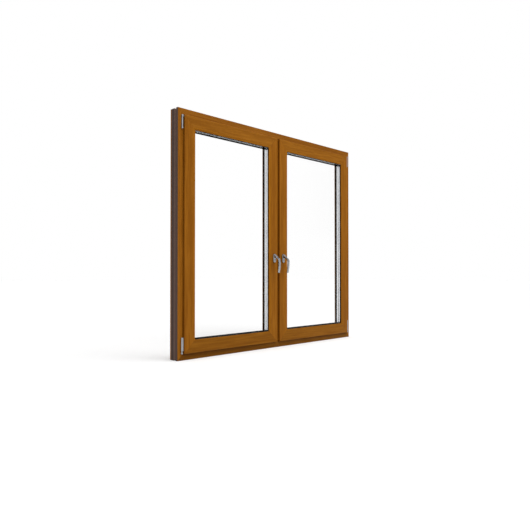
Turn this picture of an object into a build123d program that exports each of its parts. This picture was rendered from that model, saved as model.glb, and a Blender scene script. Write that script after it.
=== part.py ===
from build123d import *
import os

# Two-sash window with a fixed mullion, seen in millimetres.
# X runs to the right seen from the room, Y towards the outside, Z up.
# The origin is the middle of the sill's underside, halfway through the frame's depth.
# Sections are lists of corners (inward, depth, rounding): inward is measured from the
# member's outer edge towards the opening, depth from the frame's room face outwards.

# Outer frame
frame_width = 1600
frame_height = 1435
frame_depth = 76
frame_rebate = 45.5
frame_stop = 70.5
stop_thickness = 12
flange_depth = 18
groove_floor = 4
groove_slope = 14
groove_depth = 10
line_groove_place = 46
line_groove_width = 3
line_groove_depth = 2
room_edge_rounding = 2
outside_edge_rounding = 6

# Sashes and the strips of frame and mullion that stay visible beside them
frame_margin = 37.5
mullion_margin = 24.5
sash_depth = 76
sash_projection = 15
sash_overlap_gap = 3
hardware_gap = 12
sash_edge_rounding = 3
joint_line_rounding = 0.6

# Glazing rebate, beads and the sloping outside lip
sight_line = 75
rebate_height = 14
glass_clearance = 4
lip_tip_depth = 6
lip_slope_width = 18
bead_flat = 4.5
bead_slope_drop = 2
bead_tip_drop = 3
inner_gasket = 3
outer_gasket = 6
gasket_hold = 6
inner_gasket_lip = 3.5
outer_gasket_lip = 4

# Triple glazing unit: three panes and two spacer bars
pane_thickness = 4
spacer_thickness = 16
spacer_height = 7
spacer_setback = 1
bead_to_face = 6

# Perimeter seals
seal_width = 5
seal_offset = 2
stop_seal_width = 7

# Corner hinges
top_barrel_radius = 4.5
top_knuckle_radius = 5.2
bottom_barrel_radius = 5
barrel_bore_clearance = 0.05
barrel_edge = 0.8
pin_radius = 2.5
hinge_axis_inward = 27
hinge_axis_projection = 5.5
hinge_leaf_width = 8
hinge_arm_thickness = 5
top_hinge_from_head = 118.5
top_hinge_knuckle = 11
top_hinge_barrel = 58
bottom_hinge_low = 37
bottom_hinge_knuckle = 10.5
bottom_hinge_neck = 6.5
bottom_hinge_neck_radius = 3.5
bottom_hinge_barrel = 76.5
knuckle_joint = 0.3

# Handles
handle_inset = 30
rosette_width = 22
rosette_height = 58.5
rosette_thickness = 10
rosette_corner = 10.5
rosette_edge = 4.5
rosette_low = 564
spindle_from_top = 12.5
spindle_radius = 5
spindle_length = 8
spindle_end_gap = 1
spindle_clearance = 0.05
collar_radius = 8.5
collar_gap = 0.3
collar_thickness = 5
screw_from_bottom = 18
screw_recess_radius = 3.5
screw_recess_depth = 4
lever_width = 15
lever_thickness = 10
lever_rounding = 4
lever_reach = 42
lever_neck_drop = 27
lever_grip_drop = 75
lever_tip_drop = 114
lever_flare = 28
lever_root_height = 25
lever_root_corner = 8.4
lever_grip_return = 1.5
lever_tip_return = 9.5
lever_bend_radius = 26
lever_grip_radius = 120
lever_tip_rounding = 3

# Drain caps on the outside of the sill
cap_length = 44
cap_height = 12
cap_thickness = 4
cap_corner = 5.9
cap_rounding = 2
cap_from_mullion = 170
cap_from_corner = 150

# How far a cutting shape runs past what it cuts
cut_overrun = 1

# Places worked out from the sizes above
room_face = -frame_depth / 2
sash_width = (frame_width - mullion_margin) / 2 - frame_margin
sash_height = frame_height - 2 * frame_margin
sash_face = -sash_projection
sash_back = sash_depth - sash_projection
sash_body = frame_rebate + hardware_gap - frame_margin
stop_face = frame_depth - stop_thickness
groove_back = flange_depth + groove_floor + groove_slope
rebate_floor = sight_line - rebate_height
glass_edge = rebate_floor + glass_clearance
bead_tip = sash_face + bead_tip_drop
bead_back = sash_face + bead_to_face
pane_faces = [bead_back + inner_gasket + place * (pane_thickness + spacer_thickness) for place in range(3)]
glass_back = pane_faces[-1] + pane_thickness
lip_face = glass_back + outer_gasket
overlap_width = frame_rebate - frame_margin
mullion_rebate = mullion_margin / 2 + overlap_width
mullion_stop = mullion_rebate + frame_stop - frame_rebate
handle_x = -(mullion_margin / 2 + handle_inset)
rosette_face = sash_face - rosette_thickness
spindle_height = rosette_low + rosette_height - spindle_from_top
screw_height = rosette_low + screw_from_bottom
top_hinge_low = frame_height - top_hinge_from_head


def section(corners):
    """Closed outline through the corners, with the given roundings."""
    points = [(depth + room_face, inward) for inward, depth, rounding in corners]
    outline = make_face(Polyline(*points, close=True))
    for inward, depth, rounding in corners:
        if rounding:
            corner = outline.vertices().sort_by_distance((depth + room_face, inward, 0))[0]
            outline = fillet(corner, rounding)
    return outline


def bar(corners, length):
    """Straight bar of the section, along X from the origin, inward pointing up."""
    return extrude(Plane.YZ * section(corners), amount=length, dir=(1, 0, 0))


def mitred_bar(corners, length):
    """Bar cut at 45 degrees at both ends, longest at its outer edge."""
    reach = max(inward for inward, depth, rounding in corners) + cut_overrun
    wedge = make_face(Polyline((0, 0), (length, 0), (length - reach, reach), (reach, reach), close=True))
    cutter = extrude(Plane.XZ * wedge, amount=2 * frame_depth, both=True)
    return bar(corners, length) & cutter


def rectangle_members(corners, left, low, width, height):
    """Four mitred bars round a rectangle whose outer corner is at (left, low)."""
    across = mitred_bar(corners, width)
    upright = mitred_bar(corners, height)
    return {
        "bottom": Location((left, 0, low)) * across,
        "top": Location((left + width, 0, low + height), (0, 180, 0)) * across,
        "left": Location((left, 0, low + height), (0, 90, 0)) * upright,
        "right": Location((left + width, 0, low), (0, -90, 0)) * upright,
    }


def ring(corners, left, low, width, height):
    """The same four bars joined into one closed ring."""
    bottom, top, left_side, right_side = rectangle_members(corners, left, low, width, height).values()
    return bottom + top + left_side + right_side


def rectangle_section(inward, depth, height, thickness, rounding=0):
    """Section of a plain strip, height measured inward."""
    return [
        (inward, depth, rounding),
        (inward + height, depth, rounding),
        (inward + height, depth + thickness, rounding),
        (inward, depth + thickness, rounding),
    ]


def frame_section():
    """Outer frame: fixing groove on the outer edge, rebate and stop on the inner."""
    return [
        (0, 0, room_edge_rounding),
        (frame_rebate, 0, room_edge_rounding),
        (frame_rebate, stop_face, 0),
        (frame_stop, stop_face, 0),
        (frame_stop, frame_depth, room_edge_rounding),
        (0, frame_depth, outside_edge_rounding),
        (0, line_groove_place + line_groove_width, 0),
        (line_groove_depth, line_groove_place + line_groove_width, 0),
        (line_groove_depth, line_groove_place, 0),
        (0, line_groove_place, 0),
        (0, groove_back, joint_line_rounding),
        (groove_depth, groove_back - groove_slope, 0),
        (groove_depth, flange_depth, 0),
        (0, flange_depth, joint_line_rounding),
    ]


def sash_section():
    """Sash: room overlap, body in the frame's rebate, glazing rebate and outside lip."""
    return [
        (0, sash_face, sash_edge_rounding),
        (rebate_floor, sash_face, joint_line_rounding),
        (rebate_floor, lip_face, 0),
        (sight_line, lip_face, 0),
        (sight_line, lip_face + lip_tip_depth, room_edge_rounding),
        (sight_line - lip_slope_width, sash_back, sash_edge_rounding),
        (sash_body, sash_back, room_edge_rounding),
        (sash_body, -sash_overlap_gap, 0),
        (0, -sash_overlap_gap, room_edge_rounding / 2),
    ]


def bead_section():
    """Glazing bead: foot on the rebate floor and a face sloping down to the glass."""
    return [
        (rebate_floor, sash_face, joint_line_rounding),
        (rebate_floor + bead_flat, sash_face, joint_line_rounding),
        (sight_line - joint_line_rounding, sash_face + bead_slope_drop, joint_line_rounding),
        (sight_line, bead_tip, 0),
        (sight_line, bead_back, 0),
        (rebate_floor, bead_back, 0),
    ]


def gasket_section(profile_side, glass_side, lip):
    """Glazing seal: held flat against the profile, with a lip that runs up the glass."""
    return [
        (sight_line - gasket_hold, profile_side, 0),
        (sight_line, profile_side, 0),
        (sight_line + lip, glass_side, 0),
        (sight_line - gasket_hold, glass_side, 0),
    ]


def frame_parts():
    """Four mitred members and the mullion seated between head and sill."""
    corners = frame_section()
    members = rectangle_members(corners, -frame_width / 2, 0, frame_width, frame_height)
    half = [
        (mullion_rebate, 0, room_edge_rounding),
        (mullion_rebate, stop_face, 0),
        (mullion_stop, stop_face, 0),
        (mullion_stop, frame_depth, room_edge_rounding),
    ]
    other_half = [(-inward, depth, rounding) for inward, depth, rounding in reversed(half)]
    mullion = Location((0, 0, 0), (0, -90, 0)) * bar(half + other_half, frame_height)
    sill_cutter = Location((-frame_width / 2, 0, 0)) * bar(corners, frame_width)
    head_cutter = Location((frame_width / 2, 0, frame_height), (0, 180, 0)) * bar(corners, frame_width)
    mullion = mullion - sill_cutter - head_cutter
    mullion = max(mullion.solids(), key=lambda solid: solid.volume)
    return {
        "frame_head": members["top"],
        "frame_sill": members["bottom"],
        "frame_jamb_left": members["left"],
        "frame_jamb_right": members["right"],
        "frame_mullion": mullion,
    }


def box_between(low, high):
    """Box from its lowest to its highest corner."""
    sizes = [end - start for start, end in zip(low, high)]
    centre = [(end + start) / 2 for start, end in zip(low, high)]
    return Location(centre) * Box(*sizes)


def pane(left, low, depth):
    """One glass pane, clear of the rebate floor all round."""
    start = (left + glass_edge, depth + room_face, low + glass_edge)
    end = (
        left + sash_width - glass_edge,
        depth + pane_thickness + room_face,
        low + sash_height - glass_edge,
    )
    return box_between(start, end)


def left_sash_parts():
    """Everything that belongs to the left sash, apart from its ironmongery."""
    place = (-frame_width / 2 + frame_margin, frame_margin, sash_width, sash_height)
    left, low = place[:2]
    parts = {}
    members = rectangle_members(sash_section(), *place)
    beads = rectangle_members(bead_section(), *place)
    for side, name in (("top", "top"), ("bottom", "bottom"), ("left", "hinge"), ("right", "lock")):
        kind = "rail" if side in ("top", "bottom") else "stile"
        parts[f"sash_{name}_{kind}"] = members[side]
        parts[f"bead_{name}"] = beads[side]
    parts["glass_panes"] = Compound(children=[pane(left, low, depth).solid() for depth in pane_faces])
    spacers = []
    spacer_low = sight_line - spacer_setback - spacer_height
    for depth in pane_faces[:2]:
        corners = rectangle_section(spacer_low, depth + pane_thickness, spacer_height, spacer_thickness)
        spacers.append(ring(corners, *place).solid())
    parts["glass_spacers"] = Compound(children=spacers)
    inner = gasket_section(bead_back, pane_faces[0], inner_gasket_lip)
    outer = gasket_section(lip_face, glass_back, outer_gasket_lip)
    parts["inner_glazing_gasket"] = ring(inner, *place)
    parts["outer_glazing_gasket"] = ring(outer, *place)
    overlap_seal = rectangle_section(seal_offset, -sash_overlap_gap, seal_width, sash_overlap_gap)
    stop_seal_low = sash_body + seal_offset
    stop_seal = rectangle_section(stop_seal_low, sash_back, stop_seal_width, stop_face - sash_back)
    parts["overlap_seal"] = ring(overlap_seal, *place)
    parts["stop_seal"] = ring(stop_seal, *place)
    return parts


def hinge_point(height, inward=hinge_axis_inward, projection=hinge_axis_projection):
    """Point near the left edge, in front of the frame's room face."""
    return (-frame_width / 2 + inward, room_face - projection, height)


def barrel(low, length, radius, edge=barrel_edge):
    """Upright round piece on the hinge axis with eased ends."""
    piece = Location(hinge_point(low + length / 2)) * Cylinder(radius, length)
    return chamfer(piece.edges().filter_by(GeomType.CIRCLE), edge) if edge else piece


def hinge_leaf(low, length):
    """Block that carries a barrel on the frame's room face."""
    half = hinge_leaf_width / 2
    x, y, z = hinge_point(low)
    return box_between((x - half, y, low), (x + half, room_face, low + length))


def hinge_arm(low, length):
    """Block that carries a barrel on the sash's outer edge."""
    x, y, z = hinge_point(low)
    edge = -frame_width / 2 + frame_margin
    half = hinge_arm_thickness / 2
    return box_between((x, y - half, low), (edge, y + half, low + length))


def left_hinge_parts():
    """Stay hinge at the top corner and pivot hinge at the bottom corner."""
    bore = pin_radius + barrel_bore_clearance
    barrel_low = top_hinge_low + top_hinge_knuckle + knuckle_joint
    barrel_length = top_hinge_barrel - 2 * knuckle_joint
    upper_knuckle = top_hinge_low + top_hinge_knuckle + top_hinge_barrel
    top_length = upper_knuckle + top_hinge_knuckle - top_hinge_low
    eased = barrel_length - 2 * barrel_edge
    top_frame = barrel(barrel_low, barrel_length, top_barrel_radius)
    top_frame += hinge_leaf(barrel_low + barrel_edge, eased)
    top_frame -= barrel(top_hinge_low, top_length, bore, 0)
    pin = barrel(top_hinge_low + barrel_edge, top_length - 2 * barrel_edge, pin_radius, 0)
    top_sash = pin + barrel(top_hinge_low, top_hinge_knuckle, top_knuckle_radius)
    top_sash += barrel(upper_knuckle, top_hinge_knuckle, top_knuckle_radius)
    top_sash += hinge_arm(upper_knuckle + barrel_edge, top_hinge_knuckle - 2 * barrel_edge)

    neck_low = bottom_hinge_low + bottom_hinge_knuckle
    main_low = neck_low + bottom_hinge_neck
    bottom_frame = barrel(bottom_hinge_low, bottom_hinge_knuckle, bottom_barrel_radius)
    bottom_frame += hinge_leaf(bottom_hinge_low + barrel_edge, bottom_hinge_knuckle - 2 * barrel_edge)
    neck_length = bottom_hinge_neck + barrel_edge - knuckle_joint
    bottom_frame += barrel(neck_low - barrel_edge, neck_length, bottom_hinge_neck_radius, 0)
    bottom_frame += barrel(neck_low, bottom_hinge_neck + bottom_hinge_barrel / 2, pin_radius, 0)
    bottom_sash = barrel(main_low, bottom_hinge_barrel, bottom_barrel_radius)
    bottom_sash += hinge_arm(main_low + barrel_edge, bottom_hinge_barrel - 2 * barrel_edge)
    bottom_sash -= barrel(main_low - barrel_edge, bottom_hinge_barrel / 2 + 2 * barrel_edge, bore, 0)
    return {
        "hinge_top_frame_part": top_frame,
        "hinge_top_sash_part": top_sash,
        "hinge_bottom_frame_part": bottom_frame,
        "hinge_bottom_sash_part": bottom_sash,
    }


def room_cylinder(depth, length, radius, height):
    """Round piece on the handle's centre line, from depth towards the outside."""
    centre = (handle_x, room_face + depth + length / 2, height)
    return Location(centre, (90, 0, 0)) * Cylinder(radius, length)


def left_rosette():
    """Handle plate on the lock stile, with the spindle bore and a screw recess."""
    outline = RectangleRounded(rosette_width, rosette_height, rosette_corner)
    centre = (handle_x, room_face + sash_face, rosette_low + rosette_height / 2)
    face = Location(centre) * (Plane.XZ * outline)
    plate = extrude(face, amount=rosette_thickness, dir=(0, -1, 0))
    front = plate.faces().sort_by(Axis.Y)[0]
    plate = fillet(front.edges(), rosette_edge)
    bore_radius = spindle_radius + spindle_clearance
    start = rosette_face - cut_overrun
    bore = room_cylinder(start, spindle_length + cut_overrun, bore_radius, spindle_height)
    recess = room_cylinder(start, screw_recess_depth + cut_overrun, screw_recess_radius, screw_height)
    return plate - bore - recess


def lever_flare_piece(path, outline):
    """Root of the neck: a web as wide as the collar that narrows to the lever's section."""
    root_centre = spindle_height + collar_radius - lever_root_height / 2
    collar_face = Plane(
        origin=(handle_x, room_face + rosette_face - collar_gap - collar_thickness, root_centre),
        x_dir=(1, 0, 0),
        z_dir=(0, -1, 0),
    )
    share = lever_flare / path.length
    neck_plane = Plane(origin=path @ share, x_dir=(1, 0, 0), z_dir=path % share)
    neck_end = Location((handle_x, 0, 0)) * (neck_plane * outline)
    root = RectangleRounded(2 * collar_radius, lever_root_height, lever_root_corner)
    return loft([collar_face * root, neck_end])


def left_lever():
    """Lever: spindle stub, collar, sloping neck and a grip that bends back to the tip."""
    start = (0, room_face + rosette_face - collar_gap, spindle_height)
    knee = (0, start[1] - lever_reach, spindle_height - lever_neck_drop)
    grip = (0, knee[1] + lever_grip_return, spindle_height - lever_grip_drop)
    tip = (0, knee[1] + lever_tip_return, spindle_height - lever_tip_drop)
    path = FilletPolyline(start, knee, grip, tip, radius=[lever_bend_radius, lever_grip_radius])
    outline = RectangleRounded(lever_width, lever_thickness, lever_rounding)
    start_plane = Plane(origin=path @ 0, x_dir=(1, 0, 0), z_dir=path % 0)
    grip_bar = Location((handle_x, 0, 0)) * sweep(start_plane * outline, path=path)
    collar_low = rosette_face - collar_gap - collar_thickness
    collar = room_cylinder(collar_low, collar_thickness, collar_radius, spindle_height)
    stub_length = collar_thickness + collar_gap + spindle_length - spindle_end_gap
    stub = room_cylinder(collar_low, stub_length, spindle_radius, spindle_height)
    tip_face = grip_bar.faces().sort_by(Axis.Z)[0]
    grip_bar = fillet(tip_face.edges(), lever_tip_rounding)
    plate_plane = Plane.XZ.offset(-(room_face + rosette_face - collar_gap))
    grip_bar = split(grip_bar, bisect_by=plate_plane, keep=Keep.TOP)
    return grip_bar + collar + stub + lever_flare_piece(path, outline)


def drain_caps():
    """Low caps over the drain slots on the outside of the sill."""
    height = frame_stop / 2
    places = [frame_width / 2 - cap_from_corner, cap_from_mullion]
    caps = []
    for x in places + [-place for place in places]:
        outline = RectangleRounded(cap_length, cap_height, cap_corner)
        face = Location((x, frame_depth + room_face, height)) * (Plane.XZ * outline)
        cap = extrude(face, amount=cap_thickness, dir=(0, 1, 0))
        caps.append(fillet(cap.faces().sort_by(Axis.Y)[-1].edges(), cap_rounding).solid())
    return Compound(children=caps)


def write(name, shape):
    """Write one node's file."""
    export_step(shape, f"parts/{name}.step")


os.makedirs("parts", exist_ok=True)
left_parts = left_sash_parts() | left_hinge_parts()
left_parts |= {"handle_rosette": left_rosette(), "handle_lever": left_lever()}
for name, shape in frame_parts().items():
    write(name, shape)
for name, shape in left_parts.items():
    write(f"left_{name}", shape)
    write(f"right_{name}", mirror(shape, about=Plane.YZ))
write("drain_caps", drain_caps())
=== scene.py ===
import math

import bmesh
import bpy
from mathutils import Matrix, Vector


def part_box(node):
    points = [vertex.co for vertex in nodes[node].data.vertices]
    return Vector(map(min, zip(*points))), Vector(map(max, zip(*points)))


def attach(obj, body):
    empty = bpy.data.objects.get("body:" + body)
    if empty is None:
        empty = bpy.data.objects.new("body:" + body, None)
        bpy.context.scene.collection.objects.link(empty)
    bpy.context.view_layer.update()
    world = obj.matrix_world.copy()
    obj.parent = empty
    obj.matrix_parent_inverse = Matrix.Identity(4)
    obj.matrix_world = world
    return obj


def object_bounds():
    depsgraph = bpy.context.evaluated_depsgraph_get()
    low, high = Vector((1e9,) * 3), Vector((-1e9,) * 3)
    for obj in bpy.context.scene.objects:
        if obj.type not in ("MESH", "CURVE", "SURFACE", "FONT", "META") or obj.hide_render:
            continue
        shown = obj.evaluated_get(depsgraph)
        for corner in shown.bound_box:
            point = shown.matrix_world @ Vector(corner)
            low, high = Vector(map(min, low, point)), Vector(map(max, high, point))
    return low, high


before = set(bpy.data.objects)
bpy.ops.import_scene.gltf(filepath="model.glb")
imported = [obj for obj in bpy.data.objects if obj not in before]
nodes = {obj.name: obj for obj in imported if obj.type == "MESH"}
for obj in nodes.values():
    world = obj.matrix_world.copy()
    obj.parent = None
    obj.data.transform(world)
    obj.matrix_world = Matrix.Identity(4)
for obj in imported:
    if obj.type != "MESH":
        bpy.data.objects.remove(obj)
cad_low, cad_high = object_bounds()

# Places read from the frame. All lengths are in metres, and the room is towards -Y
jamb_low, jamb_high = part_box("frame_jamb_left")
room_face = jamb_low.y
outside_face = jamb_high.y
full_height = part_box("frame_head")[1].z
window_centre = Vector((0, 0, full_height / 2))
bead_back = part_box("left_bead_top")[1].y
lip_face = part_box("left_outer_glazing_gasket")[1].y
first_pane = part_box("left_glass_panes")[0].y

# Camera: a 35 mm lens on the room side, to the left of the window
camera_place = (-2.4857, -2.463, 0.499)
camera_yaw = math.radians(44.39)
camera_pitch = math.radians(0.82)
camera_lens = 35.17
camera_sensor = 36
camera_reach = 100

# Bare plastic on the frame's outer edge, between the foils that wrap over from its two faces
core_reach = 0.0115
room_foil_wrap = 0.0006
outside_foil_wrap = 0.013
# Depths of the groove's far wall on that edge, which is painted lighter as painted light
groove_wall_start = room_face + 0.0205
groove_wall_end = room_face + 0.0362

# Bare plastic on a sash: the glazing rebate, and the outer edge behind the overlap
rebate_floor = 0.0608
overlap_back = room_face - 0.001
overlap_edge = 0.022

# Glazing: three panes with a bar in each gap. The sight line and the bars' face are insets from
# the sash's outer edge
pane_depth = 0.004
pane_pitch = 0.020
pane_starts = [first_pane + place * pane_pitch for place in range(3)]
sight_line = 0.075
# Painted shade: black rings inside the panes' edges
pane_edge_height = 0.008
pane_edge_setback = 0.0004
pane_edge_skin = 0.0001
spacer_depth = 0.016
spacer_face = 0.074
spacer_margin = 0.0002

# Sealant between bars and panes, and wider strips of painted shade on the room's pane and on the
# outer one
butyl_width = 0.0004
room_painted_shade_width = 0.0045
outer_painted_shade_width = 0.005
butyl_height = 0.0006
butyl_sunk = 0.0005

# Perforations of the spacer bars, in two rows
hole_pitch = 0.008
hole_radius = 0.00025
hole_depth = 0.00006
hole_sides = 8
hole_row_offset = 0.005
hole_corner_gap = 0.012

# Screw in each handle plate, and the bore that it sits in
screw_from_bottom = 0.018
recess_depth = 0.004
bore_edge = 0.0037
bore_lip = 0.0004
screw_radius = 0.0031
screw_head_height = 0.0016
screw_dome = 0.75
screw_sunk = 0.0005
screw_rings = 14
screw_steps = 48
cross_half_width = 0.00045
cross_reach = 0.0019
cross_depth = 0.0011

# Grain of the oak foil: a pattern drawn out along the member, which starts anew on each one
board_draw = 0.055
fibre_draw = 0.018
member_shift = 0.731
across_shift = 0.37
depth_shift = 0.61
drift_share = 0.30
ring_share = 0.45
streak_share = 0.25
tone_range = (0.40, 0.60)
pore_range = (0.60, 0.74)
pore_darkness = 0.45
streak_relief = 0.4
foil_roughness = 0.46
foil_gloss = 0.08
foil_relief = 0.00012
foil_relief_strength = 0.6
plastic_draw = 0.01
mitre_half_width = 0.0005
mitre_fade = 2.5
mitre_darkness = 0.6
mitre_relief = 3

# Satin metals
satin_roughness = 0.15
speckle_scale = 2600.0
speckle_roughness = 0.08
speckle_relief = 0.00002
speckle_relief_strength = 0.5

# Colours of the finishes, as linear light
oak_dark = (0.305, 0.105, 0.0060, 1)
oak_light = (0.420, 0.156, 0.0120, 1)
oak_pore = (0.180, 0.060, 0.0035, 1)
rail_tint = (1.0, 1.0, 1.0, 1)
upright_tint = (1.0, 0.97, 0.86, 1)
# Painted light: the beads other than the bottom one are made lighter and warmer, where their
# slopes catch the light
bead_painted_light = (1.10, 1.08, 0.75, 1)
head_tint = (0.90, 0.88, 0.92, 1)
# Painted shade: the bottom members are darkened, and the sill under the sash more so
bottom_painted_shade = (0.86, 0.86, 0.80, 1)
sill_painted_shade = (0.66, 0.66, 0.55, 1)
core_brown = (0.115, 0.074, 0.060, 1)
core_brown_light = (0.145, 0.094, 0.078, 1)
# Painted light on the far wall of the groove on the frame's outer edge
groove_painted_light = (0.235, 0.150, 0.120, 1)
silver = (0.345, 0.355, 0.372, 1)
cover_silver = (0.42, 0.44, 0.47, 1)
hole_grey = (0.66, 0.67, 0.69, 1)
# Painted shade inside the handle plates' screw bores
bore_painted_shade = (0.03, 0.03, 0.032, 1)
screw_grey = (0.10, 0.10, 0.105, 1)
spacer_silver = (0.84, 0.85, 0.86, 1)
spacer_silver_dull = (0.76, 0.77, 0.79, 1)
# Painted shade on the top and bottom spacer bars
spacer_painted_shade = (0.34, 0.345, 0.36, 1)
rubber_black = (0.004, 0.0035, 0.003, 1)
black = (0, 0, 0, 1)
white = (1, 1, 1, 1)

# Lamps, and the world's light from the horizon upwards
horizon_light = 0.2
zenith_light = 0.7
sun_strength = 1.0
sun_angle = math.radians(50)
sun_from = Vector((0.25, -0.43, 0.87))
front_lamp_place = Vector((0.4, -2.4, 2.6))
front_lamp_size = 2.0
front_lamp_power = 22

# Darker parts of the room in reflections: how dark, and the directions between which each fades
ceiling_darkness = 0.35
ceiling_height = (0.50, 0.58)
ceiling_outwards = (0.0, 0.2)
wall_darkness = 0.9
wall_foot = (0.05, 0.09)
wall_head = (0.42, 0.50)
wall_right = (0.71, 0.78)
room_darkness = 0.15
room_outwards = (-0.4, 0.0)
room_right = (0.0, 0.2)

# Floor: its colour where it is seen, which the glow lifts to white outside the shadow, and the
# colour with which it lights the window from below
floor_reach = 30
floor_seen = (0.7, 0.7, 0.7, 1)
floor_glow = 0.335
floor_bounce = (0.45, 0.45, 0.45, 1)
floor_roughness = 0.9


class Value:
    """A number that varies over a surface: a node's output with arithmetic on it."""

    def __init__(self, surface, socket):
        self.surface = surface
        self.socket = socket

    def _math(self, operation, *operands):
        settings = {"operation": operation}
        return self.surface.node("ShaderNodeMath", settings, dict(enumerate(operands)))

    def __add__(self, other):
        return self._math("ADD", self, other)

    def __radd__(self, other):
        return self._math("ADD", other, self)

    def __sub__(self, other):
        return self._math("SUBTRACT", self, other)

    def __rsub__(self, other):
        return self._math("SUBTRACT", other, self)

    def __mul__(self, other):
        return self._math("MULTIPLY", self, other)

    def __rmul__(self, other):
        return self._math("MULTIPLY", other, self)

    def __pow__(self, other):
        return self._math("POWER", self, other)

    def __lt__(self, other):
        return self._math("LESS_THAN", self, other)

    def __gt__(self, other):
        return self._math("GREATER_THAN", self, other)

    def __abs__(self):
        return self._math("ABSOLUTE", self)

    def smaller(self, other):
        return self._math("MINIMUM", self, other)


class Surface:
    """A material's or the world's nodes, with short calls for what a finish needs."""

    def __init__(self, name, owners=bpy.data.materials, shader="Principled BSDF"):
        self.material = owners.new(name)
        self.material.use_nodes = True
        self.tree = self.material.node_tree
        self.shader = self.tree.nodes[shader]

    def feed(self, socket, value):
        if isinstance(value, Value):
            self.tree.links.new(value.socket, socket)
        else:
            socket.default_value = value

    def node(self, kind, settings=None, sockets=None, output=0):
        made = self.tree.nodes.new(kind)
        for name, setting in (settings or {}).items():
            setattr(made, name, setting)
        for name, value in (sockets or {}).items():
            self.feed(made.inputs[name], value)
        return Value(self, made.outputs[output])

    def coordinates(self, kind="Object"):
        """Object coordinates, or the world's directions, as one vector."""
        return self.node("ShaderNodeTexCoord", output=kind)

    def place(self, kind="Object"):
        """The same as three numbers."""
        parts = self.node("ShaderNodeSeparateXYZ", sockets={0: self.coordinates(kind)}).socket.node
        return [Value(self, output) for output in parts.outputs]

    def vector(self, x, y, z):
        return self.node("ShaderNodeCombineXYZ", sockets={0: x, 1: y, 2: z})

    def noise(self, at, scale, detail=2.0, roughness=0.5, distortion=0.0):
        sockets = {
            "Vector": at,
            "Scale": scale,
            "Detail": detail,
            "Roughness": roughness,
            "Distortion": distortion,
        }
        return self.node("ShaderNodeTexNoise", sockets=sockets)

    def stretch(self, value, low, high, new_low=0.0, new_high=1.0):
        """Value from low to high, spread smoothly from new_low to new_high."""
        settings = {"interpolation_type": "SMOOTHSTEP"}
        sockets = {
            "Value": value,
            "From Min": low,
            "From Max": high,
            "To Min": new_low,
            "To Max": new_high,
        }
        return self.node("ShaderNodeMapRange", settings, sockets)

    def mix(self, factor, first, second, blend="MIX"):
        """Colour between first and second, or the two in another blend."""
        settings = {"data_type": "RGBA", "blend_type": blend}
        sockets = {0: factor, 6: first, 7: second}
        return self.node("ShaderNodeMix", settings, sockets, output=2)

    def bump(self, height, distance, strength):
        sockets = {"Height": height, "Distance": distance, "Strength": strength}
        return self.node("ShaderNodeBump", sockets=sockets)

    def finish(self, **inputs):
        """Sets the shader's sockets, named with underscores for spaces."""
        for name, value in inputs.items():
            self.feed(self.shader.inputs[name.replace("_", " ")], value)
        return self.material


def scaled(colour, factor):
    """A colour made darker or lighter."""
    return tuple(channel * factor for channel in colour[:3]) + (1,)


def oak_grain(surface, upright, shift, tint):
    """Colour, bump height and pore mask of golden oak, with its grain along the member."""
    x, y, z = surface.place()
    along, across = (z, x) if upright else (x, z)
    across = across + shift * across_shift
    board = surface.vector(along * board_draw + shift, across, y + shift * depth_shift)
    fibre = surface.vector(along * fibre_draw + shift, across, y)
    drift = surface.noise(board, scale=22.0)
    rings = surface.noise(board, scale=95.0, detail=3.0, roughness=0.6, distortion=0.4)
    streaks = surface.noise(fibre, scale=420.0, detail=3.0, roughness=0.65)
    pores = surface.stretch(surface.noise(fibre, scale=1300.0, detail=1.0), *pore_range)
    tone = drift * drift_share + rings * ring_share + streaks * streak_share
    colour = surface.mix(surface.stretch(tone, *tone_range), oak_dark, oak_light)
    colour = surface.mix(pores * pore_darkness, colour, oak_pore)
    colour = surface.mix(1.0, colour, tint, "MULTIPLY")
    height = streaks * streak_relief - pores
    return colour, height, pores


def oak_profile(name, upright, shift, corners, tint, core):
    """Wood-grain foil on a mitred member, with bare brown plastic where core is 1.

    The mitre's weld is the thin line that runs at 45 degrees into each corner of a rectangle.
    """
    surface = Surface(name)
    colour, height, pores = oak_grain(surface, upright, shift, tint)
    x, y, z = surface.place()
    low, high = corners
    from_side = (x - low.x).smaller(high.x - x)
    from_end = (z - low.z).smaller(high.z - z)
    off_mitre = abs(from_side - from_end)
    weld_edges = (mitre_half_width, mitre_half_width * mitre_fade)
    weld = surface.stretch(off_mitre, *weld_edges, new_low=1.0, new_high=0.0)
    bare = core(from_side.smaller(from_end), y)
    along, across = (z, x) if upright else (x, z)
    drawn = surface.noise(surface.vector(along * plastic_draw, across + y, y * 2), scale=420.0)
    plastic = surface.mix(drawn, core_brown, core_brown_light)
    # Painted light: the groove's far wall is made a lighter brown
    painted_light_groove = (y > groove_wall_start) * (y < groove_wall_end)
    plastic = surface.mix(painted_light_groove, plastic, groove_painted_light)
    foil = surface.mix(weld * mitre_darkness, colour, oak_pore)
    relief = (height - weld * mitre_relief) * (1 - bare) + drawn * bare * 0.5
    return surface.finish(
        Base_Color=surface.mix(bare, foil, plastic),
        Roughness=foil_roughness + pores * 0.2 + bare * 0.1,
        Specular_IOR_Level=foil_gloss,
        Normal=surface.bump(relief, foil_relief, foil_relief_strength),
    )


def frame_core(inward, depth):
    """Outer edge of the frame, between the foil on its two faces."""
    behind_foil = depth > room_face + room_foil_wrap
    before_foil = depth < outside_face - outside_foil_wrap
    return (inward < core_reach) * behind_foil * before_foil


def sash_core(inward, depth):
    """Glazing rebate and outer edge of a sash, which the foil doesn't cover."""
    in_rebate = (inward > rebate_floor) * (depth > bead_back) * (depth < lip_face)
    at_edge = (inward < overlap_edge) * (depth > overlap_back)
    return (in_rebate + at_edge).smaller(1.0)


def no_core(inward, depth):
    """A bead shows foil only."""
    return inward < 0.0


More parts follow.
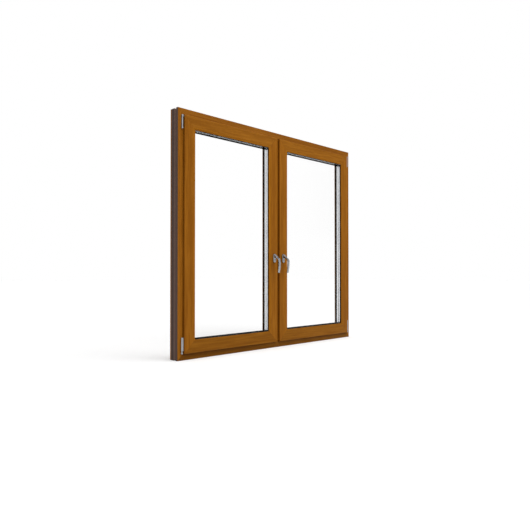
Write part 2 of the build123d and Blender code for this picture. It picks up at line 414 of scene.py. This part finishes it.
def satin_metal(name, colour, roughness, metallic):
    """Finely mottled metal, for levers, hinge covers, perforations and screws."""
    surface = Surface(name)
    at = surface.coordinates()
    speckle = surface.noise(at, speckle_scale)
    wear = surface.noise(at, scale=60.0, detail=3.0)
    return surface.finish(
        Base_Color=surface.mix(surface.stretch(wear, 0.3, 0.7), scaled(colour, 0.9), colour),
        Metallic=metallic,
        Roughness=roughness + speckle * speckle_roughness,
        Normal=surface.bump(speckle, speckle_relief, speckle_relief_strength),
    )


def handle_plate(name):
    """The levers' silver, with painted shade in the bore where the fixing screw sits."""
    surface = Surface(name)
    x, y, z = surface.place()
    speckle = surface.noise(surface.coordinates(), speckle_scale)
    low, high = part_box("right_handle_rosette")
    across = abs(x) - (low.x + high.x) / 2
    up = z - (low.z + screw_from_bottom)
    painted_shade_in_bore = (across * across + up * up < bore_edge * bore_edge) * (y > low.y + bore_lip)
    return surface.finish(
        Base_Color=surface.mix(painted_shade_in_bore, silver, bore_painted_shade),
        Metallic=1 - painted_shade_in_bore,
        Roughness=satin_roughness + speckle * speckle_roughness + painted_shade_in_bore * 0.4,
        Normal=surface.bump(speckle, speckle_relief, speckle_relief_strength),
    )


def spacer_metal(name):
    """Mill-finish aluminium, with painted shade on the top and bottom bars."""
    surface = Surface(name)
    x, y, z = surface.place()
    low, high = sash_corners("left")
    reach = spacer_face + spacer_margin
    # Painted shade: the top and bottom bars are darker than the uprights
    painted_shade_bars = (z < low.z + reach) + (z > high.z - reach)
    film = surface.noise(surface.coordinates(), scale=10.0)
    drawn = surface.noise(surface.vector(x * 0.02, y * 40, z * 0.02), scale=60.0)
    bright = surface.mix(surface.stretch(film, 0.3, 0.7), spacer_silver, spacer_silver_dull)
    return surface.finish(
        Base_Color=surface.mix(painted_shade_bars.smaller(1.0), bright, spacer_painted_shade),
        Metallic=1.0,
        Roughness=0.16 + film * 0.08,
        Normal=surface.bump(drawn, distance=0.00001, strength=0.05),
    )


def black_rubber(name):
    """Extruded seal with a faint bloom."""
    surface = Surface(name)
    bloom = surface.noise(surface.coordinates(), scale=90.0, detail=4.0)
    return surface.finish(
        Base_Color=surface.mix(bloom, rubber_black, scaled(rubber_black, 2.2)),
        Roughness=0.55 + bloom * 0.15,
        Specular_IOR_Level=0.25,
        Normal=surface.bump(bloom, distance=0.00004, strength=0.4),
    )


def clear_glass(name):
    """Float glass: clear head on, with a sheen where it is seen at a low angle."""
    surface = Surface(name)
    grazing = surface.node("ShaderNodeLayerWeight", sockets={"Blend": 0.5}, output="Facing")
    sheen = grazing ** 5.0 * 0.6
    gloss = surface.node("ShaderNodeBsdfGlossy", sockets={"Color": white, "Roughness": 0.02})
    clear = surface.node("ShaderNodeBsdfTransparent")
    glass = surface.node("ShaderNodeMixShader", sockets={0: sheen, 1: clear, 2: gloss})
    output = surface.tree.nodes["Material Output"]
    surface.feed(output.inputs["Surface"], glass)
    return surface.material


def brown_moulding(name):
    """Injection-moulded brown plastic of the drain caps."""
    surface = Surface(name)
    spark = surface.noise(surface.coordinates(), scale=1500.0)
    return surface.finish(
        Base_Color=surface.mix(spark, core_brown, core_brown_light),
        Roughness=0.5 + spark * 0.1,
        Specular_IOR_Level=0.3,
        Normal=surface.bump(spark, distance=0.00003, strength=0.5),
    )


def dress(node, material):
    """Give a CAD node its finish."""
    slots = nodes[node].data.materials
    slots.clear()
    slots.append(material)


def sash_corners(side):
    """Lowest and highest outer corner of a sash."""
    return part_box(f"{side}_sash_bottom_rail")[0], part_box(f"{side}_sash_top_rail")[1]


def member_tint(name, upright):
    """How light and warm a member's foil looks, beside a plain rail's, with painted shade on the
    sill and the bottom members and painted light on the other beads.
    """
    tints = {
        "frame_head": head_tint,
        "frame_sill": sill_painted_shade,
        "bottom_rail": bottom_painted_shade,
        "bead_top": bead_painted_light,
        "bead_hinge": bead_painted_light,
        "bead_lock": bead_painted_light,
        "bead_bottom": bottom_painted_shade,
    }
    for ending, tint in tints.items():
        if name.endswith(ending):
            return tint
    return upright_tint if upright else rail_tint


def dress_profiles():
    """Each member gets its own stretch of grain, running along it."""
    kinds = ("frame_", "_sash_", "_bead_")
    upright_kinds = ("jamb", "mullion", "stile", "bead_hinge", "bead_lock")
    profiles = [name for name in sorted(nodes) if any(kind in name for kind in kinds)]
    # The hinges' frame and sash parts have names that end in _part
    members = [name for name in profiles if not name.endswith("_part")]
    for number, name in enumerate(members):
        upright = any(kind in name for kind in upright_kinds)
        if name.startswith("frame_"):
            corners, core = (cad_low, cad_high), frame_core
        else:
            corners = sash_corners(name.split("_")[0])
            core = no_core if "_bead_" in name else sash_core
        tint = member_tint(name, upright)
        shift = member_shift * number
        dress(name, oak_profile(f"oak_{name}", upright, shift, corners, tint, core))


def dress_fittings():
    """Everything that isn't wood-grained."""
    rubber = black_rubber("black_rubber")
    finishes = {
        "glass_panes": clear_glass("clear_glass"),
        "glass_spacers": spacer_metal("spacer_bar"),
        "gasket": rubber,
        "seal": rubber,
        "hinge": satin_metal("hinge_cover", cover_silver, roughness=0.34, metallic=0.9),
        "handle_lever": satin_metal("satin_silver", silver, satin_roughness, metallic=1.0),
        "handle_rosette": handle_plate("plate_silver"),
        "drain_caps": brown_moulding("drain_cap_brown"),
    }
    for name in nodes:
        # Beads and stiles on the hinge side have their foil already
        if "_bead_" in name or "_sash_hinge" in name:
            continue
        for word, material in finishes.items():
            if word in name:
                dress(name, material)
                break


def add_object(name, data):
    """An object in the scene for a mesh, a lamp or the camera."""
    made = bpy.data.objects.new(name, data)
    bpy.context.scene.collection.objects.link(made)
    return made


def ring_mesh(name, corners, inset, width, start, depth):
    """Closed mitred ring, in the plane of the window, between two insets from a rectangle."""
    low, high = corners
    outlines = []
    for step in (inset, inset + width):
        low_x, low_z = low.x + step, low.z + step
        high_x, high_z = high.x - step, high.z - step
        outlines.append([(low_x, low_z), (high_x, low_z), (high_x, high_z), (low_x, high_z)])
    depths = (start, start + depth)
    vertices = [(x, y, z) for y in depths for outline in outlines for x, z in outline]
    # Four loops of four: outer and inner on the room side, then outer and inner behind
    room_outer, room_inner, back_outer, back_inner = 0, 4, 8, 12
    bands = [
        (room_outer, room_inner),
        (room_inner, back_inner),
        (back_inner, back_outer),
        (back_outer, room_outer),
    ]
    faces = []
    for turn in range(4):
        after = (turn + 1) % 4
        for first, second in bands:
            faces.append((first + turn, first + after, second + after, second + turn))
    mesh = bpy.data.meshes.new(name)
    mesh.from_pydata(vertices, [], faces)
    return mesh


def solid_from(meshes, name, material):
    """One object from several closed meshes, with its faces turned outwards."""
    shape = bmesh.new()
    for mesh in meshes:
        shape.from_mesh(mesh)
        bpy.data.meshes.remove(mesh)
    bmesh.ops.recalc_face_normals(shape, faces=shape.faces)
    joined = bpy.data.meshes.new(name)
    shape.to_mesh(joined)
    shape.free()
    joined.materials.append(material)
    return add_object(name, joined)


def plain_mesh(source, name):
    """The evaluated shape of source as an object of its own, in place of source."""
    depsgraph = bpy.context.evaluated_depsgraph_get()
    mesh = bpy.data.meshes.new_from_object(source.evaluated_get(depsgraph))
    bpy.data.objects.remove(source)
    mesh.name = name
    return add_object(name, mesh)


def painted_shade_pane_edges(side, material):
    """Black rings inside each pane's edge beside the spacer bars: painted shade, where the glass
    edge looks dark at a low angle.
    """
    corners = sash_corners(side)
    inset = sight_line - pane_edge_height
    width = pane_edge_height - pane_edge_setback
    depth = pane_depth - 2 * pane_edge_skin
    starts = [start + pane_edge_skin for start in pane_starts]
    rings = [ring_mesh("pane_edge", corners, inset, width, start, depth) for start in starts]
    edges = solid_from(rings, f"{side}_painted_shade_pane_edges", material)
    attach(edges, "window")


def butyl_and_painted_shade_lines(side, material):
    """Black line of sealant where each spacer bar meets a pane, widened into painted shade on the
    room's pane and on the outer one.
    """
    corners = sash_corners(side)
    inset = spacer_face - butyl_sunk
    first_bar, second_bar = [start + pane_depth for start in pane_starts[:2]]
    strips = [
        (first_bar, room_painted_shade_width),
        (first_bar + spacer_depth - butyl_width, butyl_width),
        (second_bar, butyl_width),
        (second_bar + spacer_depth - outer_painted_shade_width, outer_painted_shade_width),
    ]
    rings = []
    for start, depth in strips:
        rings.append(ring_mesh("butyl", corners, inset, butyl_height, start, depth))
    lines = solid_from(rings, f"{side}_butyl_and_painted_shade_lines", material)
    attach(lines, "window")


def perforation_tree(material):
    """Geometry Nodes: a small round hole every pitch along each edge of a mesh."""
    tree = bpy.data.node_groups.new("spacer_perforations", "GeometryNodeTree")
    tree.interface.new_socket("Geometry", in_out="INPUT", socket_type="NodeSocketGeometry")
    for name in ("Pitch", "Radius", "Depth"):
        tree.interface.new_socket(name, in_out="INPUT", socket_type="NodeSocketFloat")
    tree.interface.new_socket("Geometry", in_out="OUTPUT", socket_type="NodeSocketGeometry")
    start = tree.nodes.new("NodeGroupInput")
    end = tree.nodes.new("NodeGroupOutput")
    curve = tree.nodes.new("GeometryNodeMeshToCurve")
    points = tree.nodes.new("GeometryNodeCurveToPoints")
    points.mode = "LENGTH"
    hole = tree.nodes.new("GeometryNodeMeshCylinder")
    hole.inputs["Vertices"].default_value = hole_sides
    # A hole's axis is square to its row and to the window's depth
    across = tree.nodes.new("ShaderNodeVectorMath")
    across.operation = "CROSS_PRODUCT"
    across.inputs[1].default_value = (0, 1, 0)
    turn = tree.nodes.new("FunctionNodeAlignRotationToVector")
    turn.axis = "Z"
    copies = tree.nodes.new("GeometryNodeInstanceOnPoints")
    realize = tree.nodes.new("GeometryNodeRealizeInstances")
    paint = tree.nodes.new("GeometryNodeSetMaterial")
    paint.inputs["Material"].default_value = material
    links = [
        (start.outputs["Geometry"], curve.inputs["Mesh"]),
        (curve.outputs["Curve"], points.inputs["Curve"]),
        (start.outputs["Pitch"], points.inputs["Length"]),
        (start.outputs["Radius"], hole.inputs["Radius"]),
        (start.outputs["Depth"], hole.inputs["Depth"]),
        (points.outputs["Tangent"], across.inputs[0]),
        (across.outputs["Vector"], turn.inputs["Vector"]),
        (points.outputs["Points"], copies.inputs["Points"]),
        (hole.outputs["Mesh"], copies.inputs["Instance"]),
        (turn.outputs["Rotation"], copies.inputs["Rotation"]),
        (copies.outputs["Instances"], realize.inputs["Geometry"]),
        (realize.outputs["Geometry"], paint.inputs["Geometry"]),
        (paint.outputs["Geometry"], end.inputs["Geometry"]),
    ]
    for source, target in links:
        tree.links.new(source, target)
    return tree


def spacer_perforations(side, tree):
    """Two rows of holes along each spacer bar, through which its drying agent works."""
    low, high = sash_corners(side)
    left, right = low.x + spacer_face, high.x - spacer_face
    bottom, top = low.z + spacer_face, high.z - spacer_face
    gap = hole_corner_gap
    runs = [
        ((left + gap, bottom), (right - gap, bottom)),
        ((left + gap, top), (right - gap, top)),
        ((left, bottom + gap), (left, top - gap)),
        ((right, bottom + gap), (right, top - gap)),
    ]
    vertices = []
    for start in pane_starts[:2]:
        middle = start + pane_depth + spacer_depth / 2
        for depth in (middle - hole_row_offset, middle + hole_row_offset):
            for ends in runs:
                vertices += [(x, depth, z) for x, z in ends]
    edges = [(first, first + 1) for first in range(0, len(vertices), 2)]
    mesh = bpy.data.meshes.new("perforation_rows")
    mesh.from_pydata(vertices, edges, [])
    rows = add_object("perforation_rows", mesh)
    modifier = rows.modifiers.new("holes", "NODES")
    modifier.node_group = tree
    sizes = {"Pitch": hole_pitch, "Radius": hole_radius, "Depth": hole_depth}
    for socket in tree.interface.items_tree:
        if socket.in_out == "INPUT" and socket.name in sizes:
            modifier[socket.identifier] = sizes[socket.name]
    made = plain_mesh(rows, f"{side}_spacer_perforations")
    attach(made, "window")


def screw_height(x, z):
    """How far a screw head stands out at a place on it: a dome with a cross slot."""
    radius = math.hypot(x, z)
    fall = screw_dome * (radius / screw_radius) ** 2
    height = screw_head_height * math.sqrt(max(0.0, 1 - fall))
    in_slot = min(abs(x), abs(z)) < cross_half_width and radius < cross_reach
    return height - (cross_depth if in_slot else 0.0)


def plate_screw(side, material):
    """Cross-head screw at the bottom of a handle plate's recess."""
    low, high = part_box(f"{side}_handle_rosette")
    centre_x = (low.x + high.x) / 2
    centre_z = low.z + screw_from_bottom
    floor_depth = low.y + recess_depth
    vertices = [(centre_x, floor_depth - screw_height(0, 0), centre_z)]
    for ring in range(1, screw_rings + 1):
        radius = screw_radius * ring / screw_rings
        for step in range(screw_steps):
            angle = 2 * math.pi * step / screw_steps
            x, z = radius * math.cos(angle), radius * math.sin(angle)
            vertices.append((centre_x + x, floor_depth - screw_height(x, z), centre_z + z))
    # The outermost ring again, sunk into the plate, closes the head at the back
    for x, _, z in vertices[-screw_steps:]:
        vertices.append((x, floor_depth + screw_sunk, z))
    faces = [(0, 1 + step, 1 + (step + 1) % screw_steps) for step in range(screw_steps)]
    for ring in range(screw_rings):
        first = 1 + ring * screw_steps
        outer = first + screw_steps
        for step in range(screw_steps):
            after = (step + 1) % screw_steps
            faces.append((first + step, first + after, outer + after, outer + step))
    faces.append(tuple(range(len(vertices) - screw_steps, len(vertices))))
    mesh = bpy.data.meshes.new("screw_head")
    mesh.from_pydata(vertices, [], faces)
    screw = solid_from([mesh], f"{side}_plate_screw", material)
    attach(screw, "window")


def add_lamp(data, rotation, place=(0, 0, 0)):
    """A lamp that doesn't show in reflections."""
    lamp = add_object(data.name, data)
    lamp.visible_glossy = False
    lamp.location = place
    lamp.rotation_mode = "QUATERNION"
    lamp.rotation_quaternion = rotation


def sun():
    """Broad soft light from in front, above and a little to the right."""
    data = bpy.data.lights.new("sun", "SUN")
    data.energy = sun_strength
    data.angle = sun_angle
    add_lamp(data, sun_from.to_track_quat("Z", "Y"))


def front_lamp():
    """Square soft lamp high in the room, facing the window."""
    data = bpy.data.lights.new("front_lamp", "AREA")
    data.size = front_lamp_size
    data.energy = front_lamp_power
    direction = window_centre - front_lamp_place
    add_lamp(data, direction.to_track_quat("-Z", "Y"), front_lamp_place)


def ray(surface, kind):
    """1 for light paths of one kind, 0 for the others."""
    return surface.node("ShaderNodeLightPath", output=f"Is {kind} Ray")


def seen_directly(surface):
    """1 for what the camera sees, also reflected or through a pane, 0 for what only lights."""
    seen = ray(surface, "Camera") + ray(surface, "Glossy") + ray(surface, "Transmission")
    return seen.smaller(1.0)


def white_room():
    """World: white to look at, with darker parts in reflections, and lighting most from above."""
    sky = Surface("white_room", bpy.data.worlds, "Background")
    bpy.context.scene.world = sky.material
    right, outwards, height = sky.place("Generated")
    seen = seen_directly(sky)
    reflected = ray(sky, "Glossy")
    ceiling = sky.stretch(height, *ceiling_height) * sky.stretch(outwards, *ceiling_outwards)
    wall_band = sky.stretch(height, *wall_foot) * (1 - sky.stretch(height, *wall_head))
    wall = wall_band * sky.stretch(right, *wall_right)
    room = (1 - sky.stretch(outwards, *room_outwards)) * sky.stretch(right, *room_right)
    shown = 1 - ceiling * ceiling_darkness * reflected
    shown = shown * (1 - wall * wall_darkness * reflected)
    shown = shown * (1 - room * room_darkness * reflected)
    lighting = horizon_light + zenith_light * sky.stretch(height, 0.0, 1.0)
    sky.finish(Color=white, Strength=seen * shown + (1 - seen) * lighting)


def floor():
    """White floor that keeps the window's soft shadow."""
    mesh = bpy.data.meshes.new("floor")
    reach = floor_reach
    corners = [(-reach, -reach, 0), (reach, -reach, 0), (reach, reach, 0), (-reach, reach, 0)]
    mesh.from_pydata(corners, [], [(0, 1, 2, 3)])
    made = add_object("floor", mesh)
    surface = Surface("pale_floor")
    seen = seen_directly(surface)
    surface.finish(
        Base_Color=surface.mix(seen, floor_bounce, floor_seen),
        Roughness=floor_roughness,
        Specular_IOR_Level=0.0,
        Emission_Color=surface.mix(seen, black, white),
        Emission_Strength=floor_glow,
    )
    mesh.materials.append(surface.material)


def camera():
    """The photograph's view of the window."""
    data = bpy.data.cameras.new("camera")
    data.lens = camera_lens
    data.sensor_width = camera_sensor
    data.clip_end = camera_reach
    made = add_object("camera", data)
    made.location = camera_place
    made.rotation_euler = (math.pi / 2 + camera_pitch, 0, -camera_yaw)
    bpy.context.scene.camera = made


dress_profiles()
dress_fittings()
# Black rubber for the seal lines, also used for the painted shade at the pane edges and the wide
# strips
seal_and_painted_shade = black_rubber("black_seal_and_painted_shade")
holes = perforation_tree(satin_metal("spacer_hole", hole_grey, roughness=0.2, metallic=1.0))
screw_steel = satin_metal("screw_steel", screw_grey, roughness=0.35, metallic=1.0)
for side in ("left", "right"):
    painted_shade_pane_edges(side, seal_and_painted_shade)
    butyl_and_painted_shade_lines(side, seal_and_painted_shade)
    spacer_perforations(side, holes)
    plate_screw(side, screw_steel)
white_room()
floor()
camera()
sun()
front_lamp()
bpy.context.scene.view_settings.view_transform = "Standard"
